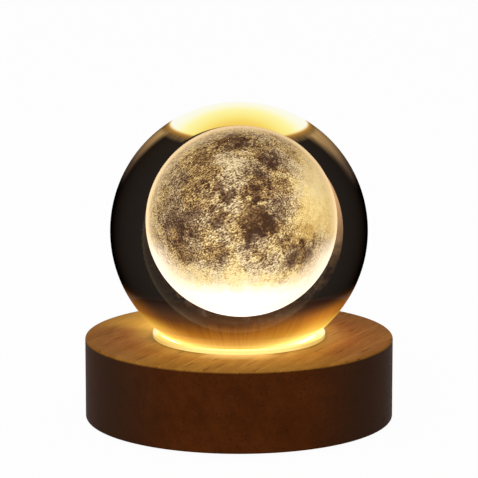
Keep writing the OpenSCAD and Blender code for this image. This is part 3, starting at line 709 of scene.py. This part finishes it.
# Seat ring. A round cord of clear silicone that lies loose on the ring's shelf. The ball stands on it and
# turns with it.
low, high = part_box("seat_ring")
cord_radius = (high.z - low.z) / 2
cord_circle = high.y - cord_radius
section = np.linspace(0, 2 * np.pi, 24, endpoint=False)
seat_profile = np.stack([cord_circle + cord_radius * np.cos(section),
                         (low.z + high.z) / 2 + cord_radius * np.sin(section)], -1)
silicone, place = new_material("clear silicone")
haze = place.noise(1200, 3, 0.6)
# The golden glow is the ring's light painted into the cord.
place.finish(Base_Color=haze.mix((0.80, 0.66, 0.38), (0.88, 0.78, 0.52)), Roughness=haze * 0.3 + 0.2,
             Emission_Color=haze.mix((0.95, 0.72, 0.24), (1.0, 0.86, 0.40)), Emission_Strength=1.4,
             Normal=haze.bump(0.02 * mm))
surface("seat_cord", [turned(seat_profile, 160)], silicone, "seat", "clear_silicone", ["seat_ring"],
        along=True)

# Glass ball. A solid ball of polished optical glass, which stands loose on the seat ring. Lit from below, its
# foot is filled with the ring's golden light, its middle stays dark, its rim has brown light, and its crown
# shows the lamps. All of these are painted on the glass: painted light in the foot, rim and crown, painted
# darkness in the middle.
low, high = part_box("crystal_ball")
ball_radius = (high.z - low.z) / 2
ball_z = (low.z + high.z) / 2
glass_index = 1.52
painted_dark_middle = (0.060, 0.055, 0.050)
foot_glass = (1.0, 0.90, 0.70)
darkening_tint = (0.36, 0.32, 0.29)
darkening_start, darkening_full = 28 * mm, 33 * mm
foot_top = 33.5 * mm
foot_rim_start, foot_rim_full = 22 * mm, 25 * mm
foot_rim_fade, foot_rim_end = 31 * mm, 35 * mm
rim_light_start, rim_light_full = 55 * mm, 60 * mm
crown_start = 70.9 * mm
crown_dip = 1.7 * mm
moon_outline = 0.42


def ball_points(radius, centre, columns, rows, relief=0):
    """A ball: the angle round the upright axis by the angle up from the lowest point."""
    up = np.linspace(0, np.pi, rows)[:, None]
    round_angle = np.linspace(0, 2 * np.pi, columns, endpoint=False)[None, :]
    r = radius + relief
    shape = np.stack([np.sin(up) * np.sin(round_angle), -np.sin(up) * np.cos(round_angle),
                      -np.cos(up) + 0 * round_angle], -1)
    return np.asarray(centre) + shape * np.broadcast_to(r, shape.shape[:2])[..., None]


glass, place = new_material("crystal glass")
# Above the foot the glass is tinted dark, a painted darkness. The golden light painted in the foot fades
# upwards in fine rays.
height = place.axis("Z")
up_ball = (height - low.z) / (2 * ball_radius)
sideways = place.axis("X") / ball_radius
turn = place.axis("Y").maths("ARCTAN2", place.axis("X"))
spokes = place.put("CombineXYZ", {}, {"X": turn * 38.0, "Y": height * 90.0})
rays = spokes.noise(1.0, 3, 0.6)
edge = place.put("LayerWeight", {}, {"Blend": 0.5}, "Facing")
outside = 1 - place.put("NewGeometry", {}, {}, "Backfacing")
clear_foot_dark_middle = up_ball.ramp(
    (0.0, foot_glass), (0.03, foot_glass), (0.06, (0.05, 0.022, 0.004)), (0.17, (0.008, 0.002, 0.0002)),
    (0.215, (0.0036, 0.0024, 0.0014)), (0.25, (0.0072, 0.0062, 0.005)), (0.267, (0.0148, 0.0135, 0.012)),
    (0.283, (0.036, 0.033, 0.030)), (0.30, painted_dark_middle))
streaked = up_ball + (rays - 0.5) * 0.05 * (1 - up_ball.rising(0.15, 0.34)) - sideways.clamped() * 0.11
# The ring's golden light in the foot is painted on the glass as a glow, stronger towards the sides and rim.
painted_foot_light = streaked.ramp(
    (0.05, (0.92, 0.72, 0.22)), (0.085, (0.72, 0.42, 0.065)), (0.117, (0.56, 0.240, 0.022)),
    (0.15, (0.41, 0.135, 0.009)), (0.183, (0.225, 0.066, 0.004)), (0.217, (0.080, 0.022, 0.002)),
    (0.25, (0.062, 0.018, 0.002)), (0.30, (0.050, 0.014, 0.002)), (0.36, (0.025, 0.007, 0.001)))
painted_foot_light = height.rising(foot_top - 0.5 * mm, foot_top + 0.4 * mm).mix(painted_foot_light, (0, 0, 0))
painted_foot_light = painted_foot_light.scaled(1 + sideways.rising(0.3, 0.65) * 0.35 + edge.rising(0.5, 0.95) * 1.2)
# The coat darkens the glass from darkening_start up, which is painted darkness too.
place.finish(Base_Color=clear_foot_dark_middle, Roughness=0.0, IOR=glass_index, Transmission_Weight=1.0,
             Specular_Tint=(0.30, 0.25, 0.22), Coat_Weight=height.rising(darkening_start, darkening_full) * outside,
             Coat_IOR=1.0, Coat_Roughness=0.0, Coat_Tint=darkening_tint, Emission_Color=painted_foot_light,
             Emission_Strength=1.0)

# The lamps' light painted in the crown reaches down to the outline of the moon, and the brown light painted
# at the rim follows the ball's outline. In glass both keep to the outline that is seen, so their edges go by
# Layer Weight.
over_start = height - crown_start + (1 - edge) * crown_dip
lamplight = (edge + (73.5 * mm - height) * 30).ramp(
    (0.48, (0.92, 0.62, 0.115)), (0.53, (0.97, 0.80, 0.215)), (0.57, (0.98, 0.86, 0.30)),
    (0.62, (0.99, 0.91, 0.38)), (0.66, (0.99, 0.94, 0.52)), (0.72, (0.98, 0.96, 0.71)),
    (0.85, (0.97, 0.96, 0.84)))
afterglow = (over_start / (4 * mm) + 1).ramp(
    (0.50, (0.012, 0.008, 0.006)), (0.70, (0.045, 0.015, 0.005)), (0.88, (0.41, 0.20, 0.04)),
    (1.0, (0.98, 0.62, 0.14)))
crown_light = over_start.rising(-0.4 * mm, 0.1 * mm).mix(afterglow, lamplight)
crown = over_start.rising(-2 * mm, -0.4 * mm) * edge.rising(moon_outline - 0.008, moon_outline + 0.008)
# Painted light at the rim: golden at the foot, and brown with fine strands above the middle.
strands = rays.rising(0.35, 0.65) * 0.5 + 0.6
brown_rim_light = ((height - 57 * mm) / (13 * mm)).ramp(
    (0.0, (0.030, 0.020, 0.014)), (0.35, (0.12, 0.074, 0.045)), (0.6, (0.30, 0.18, 0.085)),
    (1.0, (0.58, 0.35, 0.13)))
brown_rim_light = brown_rim_light.scaled(strands * (1 - edge.rising(0.70, 0.95) * 0.5))
golden_rim_light = ((height - 22 * mm) / (12 * mm)).ramp(
    (0.0, (0.95, 0.70, 0.20)), (0.25, (0.80, 0.45, 0.06)), (0.5, (0.32, 0.11, 0.015)),
    (0.9, (0.05, 0.018, 0.004)))
rim_light = height.rising(ball_z, ball_z + mm).mix(golden_rim_light, brown_rim_light)
reach = edge - (crown_start - height) * 10 - sideways.rising(0.01, -0.01) * 0.08
rim_light_cover = reach.rising(0.50, 0.64) * height.rising(rim_light_start, rim_light_full)
foot_cover = (height.rising(foot_rim_start, foot_rim_full) * height.rising(foot_rim_end, foot_rim_fade)
              * edge.rising(0.5, 0.85) * 0.9)
covered = (rim_light_cover + foot_cover + crown).clamped()
place.laid_over(covered * outside, crown.mix(rim_light, crown_light))
surface("glass_ball", [ball_points(ball_radius, (0, 0, ball_z), 288, 145)], glass, "ball", "ball_glass",
        ["crystal_ball"], sharp=180)

# Engraved moon. A cloud of fine cracks drawn in the glass with a laser: worn seas, bright highlands and
# craters of the builder's own layout. Its glow is painted light: the lamps' light from below is painted white
# on its lower part, and a pale sheen is painted at its outline.
low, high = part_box("moon_engraving")
moon_centre = (low + high) / 2
moon_radius = (high.z - low.z) / 2
crater_count = 170
crater_seed = 11
crater_depth = 0.11 * mm
relief_room = 0.02 * mm
moon_light = 11.0
# Each patch has its degrees to the right of the front, degrees up, radius in degrees and depth of tone, with
# a minus sign where it is bright.
patches = [
    (20, 44, 11, 0.8), (37, 56, 8, 0.8), (12, 13, 13, 1.0), (8, 0, 8, 1.0), (23, 8, 9, 0.8),
    (-20, 37, 7, 0.8), (-16, 13, 8, 0.9), (-50, 19, 24, 0.4), (-54, 1, 12, 0.5), (-35, 7, 11, 0.6),
    (-39, 80, 12, 0.9), (7, 80, 7, 0.7), (-61, 58, 9, 0.5), (49, -18, 12, 1.0), (37, -6, 9, 0.4),
    (39, 33, 8, 0.6), (44, 67, 10, 0.5), (55, 52, 9, 0.4), (-19, -16, 10, 0.6), (-46, -13, 11, 0.5),
    (-50, 45, 15, 0.35), (30, 21, 8, 0.4), (39, -37, 6, 0.6), (-27, -44, 7, 0.4), (8, -16, 13, 0.3),
    (-29, 12, 6, -0.7), (-17, 62, 10, -0.4), (12, 33, 8, 0.9), (67, 35, 22, -0.4), (40, 13, 9, -0.3),
    (-4, 21, 5, -0.4), (32, 44, 3, -0.4), (112, 22, 15, 0.7), (-112, 30, 14, 0.7), (140, 8, 12, 0.9),
    (152, 42, 12, 0.7), (180, 15, 14, 0.9), (-150, 2, 13, 0.8), (-140, 42, 12, 0.5), (165, -16, 10, 0.5),
    (-125, -14, 9, 0.5), (122, -14, 9, 0.5), (-168, 44, 8, -0.4), (53, -1, 8, 0.5), (2, -27, 13, -0.5),
    (-12, 29, 6, 0.7), (-30, 22, 11, 0.3)]


def direction(right, up):
    """The unit vector at an angle to the right of the front and an angle above the level, in radians."""
    return np.stack([np.cos(up) * np.sin(right), -np.cos(up) * np.cos(right), np.sin(up)], -1)


def crater_relief(points):
    """Height over the round ball: each crater is a bowl with a raised rim, which fades away outside it."""
    draw = np.random.default_rng(crater_seed)
    right = draw.uniform(-np.pi, np.pi, crater_count)
    up = np.arcsin(draw.uniform(-0.95, 0.95, crater_count))
    ways = direction(right, up)
    sizes = np.radians(1.2 + 5.5 * draw.power(0.35, crater_count)[::-1] ** 2)
    ways[0] = direction(math.radians(-4), math.radians(-37))
    sizes[0] = math.radians(8)
    height = np.zeros(points.shape[:2])
    for way, size in zip(ways, sizes):
        away = np.arccos(np.clip(points @ way, -1, 1)) / size
        bowl = np.where(away < 1, away ** 2 - 1, 0) * 0.55
        raised = np.exp(-((away - 1) / 0.22) ** 2) * 0.45
        height += (bowl + raised) * min(1, size / math.radians(5)) * crater_depth
    return height


unit_ball = ball_points(1, (0, 0, 0), 400, 201)
relief = np.clip(crater_relief(unit_ball), -0.2 * mm, relief_room - 0.01 * mm)

engraving, place = new_material("engraved glass")
# The tone comes from the patches with worn edges, clouds, leaning streaks and fine specks.
from_middle = place.put("VectorMath", {"operation": "SUBTRACT"}, {0: place, 1: tuple(moon_centre)})
way = place.put("VectorMath", {"operation": "NORMALIZE"}, {0: from_middle})
raised = (from_middle.length() - (moon_radius - relief_room)) / (0.1 * mm)
wobble = (way.noise(9, 4, 0.7) - 0.5) * 0.6
seas = 0
for right, up, size, depth in patches:
    there = direction(math.radians(right), math.radians(up))
    away = way.put("VectorMath", {"operation": "DISTANCE"}, {0: way, 1: tuple(there)}, "Value") + wobble
    seas = seas + away.rising(math.radians(size * 1.35), math.radians(size * 0.5)) * depth
leaning = way.put("Mapping", {}, {"Vector": way, "Rotation": (0, math.radians(28), 0)})
speck = leaning.stretched(0.42, 1, 1).noise(70, 2, 0.75).rising(0.36, 0.64)
mottle = leaning.stretched(0.5, 1, 1).noise(15, 5, 0.72)
streak = leaning.stretched(0.3, 1, 1).noise(8, 3, 0.6)
broad = way.noise(5, 4, 0.65)
x, z = way.axis("X"), way.axis("Z")
# The right side is painted lighter and more golden, with less speckle.
lit_smooth_right = x.rising(0.55, 0.88) * z.rising(-0.30, 0.05)
# facing is 0.87 in the middle of the moon and about 0 at its outline, as it is seen through the ball.
facing = 0.87 - place.put("LayerWeight", {}, {"Blend": 0.5}, "Facing") * 1.2
limb = facing.rising(0.30, -0.20)
sheen = facing.rising(0.50, -0.15) * z.rising(-0.10, -0.42)
level = z + (mottle - 0.5) * 0.35
rough = 1 - lit_smooth_right * 0.7 - seas.clamped() * 0.3
# Painted light in the tone: the lower part, the glare and the outline are lighter, and crater rims are
# lighter than their bowls, a painted shade.
tone = (0.56 + (broad - 0.5) * 0.7 + (streak - 0.5) * 0.8 * rough + (mottle - 0.5) * 1.1 * rough
        + (speck - 0.5) * 0.85 * rough + raised * 0.08 + lit_smooth_right * 0.30 + z.rising(-0.10, -0.75) * 0.30
        + level.rising(-0.34, -0.70) * 0.42 + limb * 0.26 - seas * 0.36)
pale = tone.ramp(
    (0.0, (0.062, 0.034, 0.024)), (0.25, (0.140, 0.090, 0.061)), (0.5, (0.35, 0.26, 0.163)),
    (0.75, (0.75, 0.62, 0.36)), (1.0, (1.15, 1.12, 0.80)))
golden = tone.ramp(
    (0.0, (0.060, 0.030, 0.015)), (0.25, (0.17, 0.092, 0.038)), (0.5, (0.50, 0.33, 0.13)),
    (0.75, (1.00, 0.79, 0.29)), (1.0, (1.36, 1.26, 0.64)))
warmth = (way.noise(3.2, 2).rising(0.42, 0.58) * 0.6 + lit_smooth_right * 0.6 + 0.1).clamped()
colour = warmth.mix(pale, golden)
# A painted pale sheen at the outline, and the painted white light from below.
painted_outline_sheen = limb * (1 - x.rising(0.1, 0.6) * 0.35) * 0.55 + facing.rising(0.06, -0.20) * 0.8
colour = painted_outline_sheen.clamped().mix(colour, (1.9, 1.72, 1.15))
glare = 1 - (1 - level.rising(-0.56, -0.82)) * (1 - sheen)
colour = glare.mix(colour, (2.1, 2.1, 1.95))
place.finish(Base_Color=(0.12, 0.10, 0.08), Roughness=0.6, Emission_Color=colour,
             Emission_Strength=moon_light)
etched = ball_points(moon_radius - relief_room, tuple(moon_centre), 400, 201, relief)
surface("etched_moon", [etched], engraving, "ball", "engraved_glass", ["moon_engraving"], sharp=180)

# Halo of the moon. A thin flat crescent of painted brown light that spreads a little outside the moon, to the
# right and downwards, and tapers to its two ends.
halo_shift = np.array([0.86, -1.60]) * mm
halo_half_thickness = 0.06 * mm
halo_light = 11.0
halo_share = 0.15
limb_back = math.radians(19)
sweep_start, sweep_end = -60, 150
sweep = np.linspace(sweep_start, sweep_end, 85)[:, None]
outward = np.stack([np.cos(np.radians(sweep)), -np.sin(np.radians(sweep))], -1)
gap = np.maximum(outward @ halo_shift, 0)
loop = np.linspace(0, 2 * np.pi, 16, endpoint=False)[None, :]
limb_radius = (moon_radius - relief_room) * math.cos(limb_back)
reach = limb_radius - 0.2 * mm + (gap + 0.2 * mm) * (0.5 + 0.5 * np.cos(loop))
taper = np.sin(np.pi * (sweep - sweep_start) / (sweep_end - sweep_start))
across = halo_half_thickness * np.sin(loop) * taper
upwards = np.array([0, math.sin(camera_tilt), math.cos(camera_tilt)])
backwards = np.array([0, math.cos(camera_tilt), -math.sin(camera_tilt)])
halo_centre = np.asarray(moon_centre) + moon_radius * math.sin(limb_back) * backwards
spread = outward[..., :1] * np.array([1, 0, 0]) + outward[..., 1:] * upwards
halo_points = halo_centre + reach[..., None] * spread + across[..., None] * backwards
halo_points[[0, -1]] = halo_points[[0, -1]].mean(1, keepdims=True)
halo_glow, place = new_material("painted halo glow")
haze = place.noise(900, 4, 0.7)
# Its painted light is brighter in its lower part.
under = place.axis("Z").rising(52 * mm, 38 * mm)
faint = (under + (haze - 0.5) * 0.4).clamped()
place.finish(Base_Color=(0.02, 0.012, 0.006), Roughness=0.6, Alpha=halo_share,
             Emission_Color=faint.mix((0.76, 0.54, 0.31), (0.004, 0.001, 0.0003)),
             Emission_Strength=halo_light / halo_share)
surface("moon_halo", [halo_points], halo_glow, "ball", "engraved_glass", ["moon_engraving"], sharp=180)
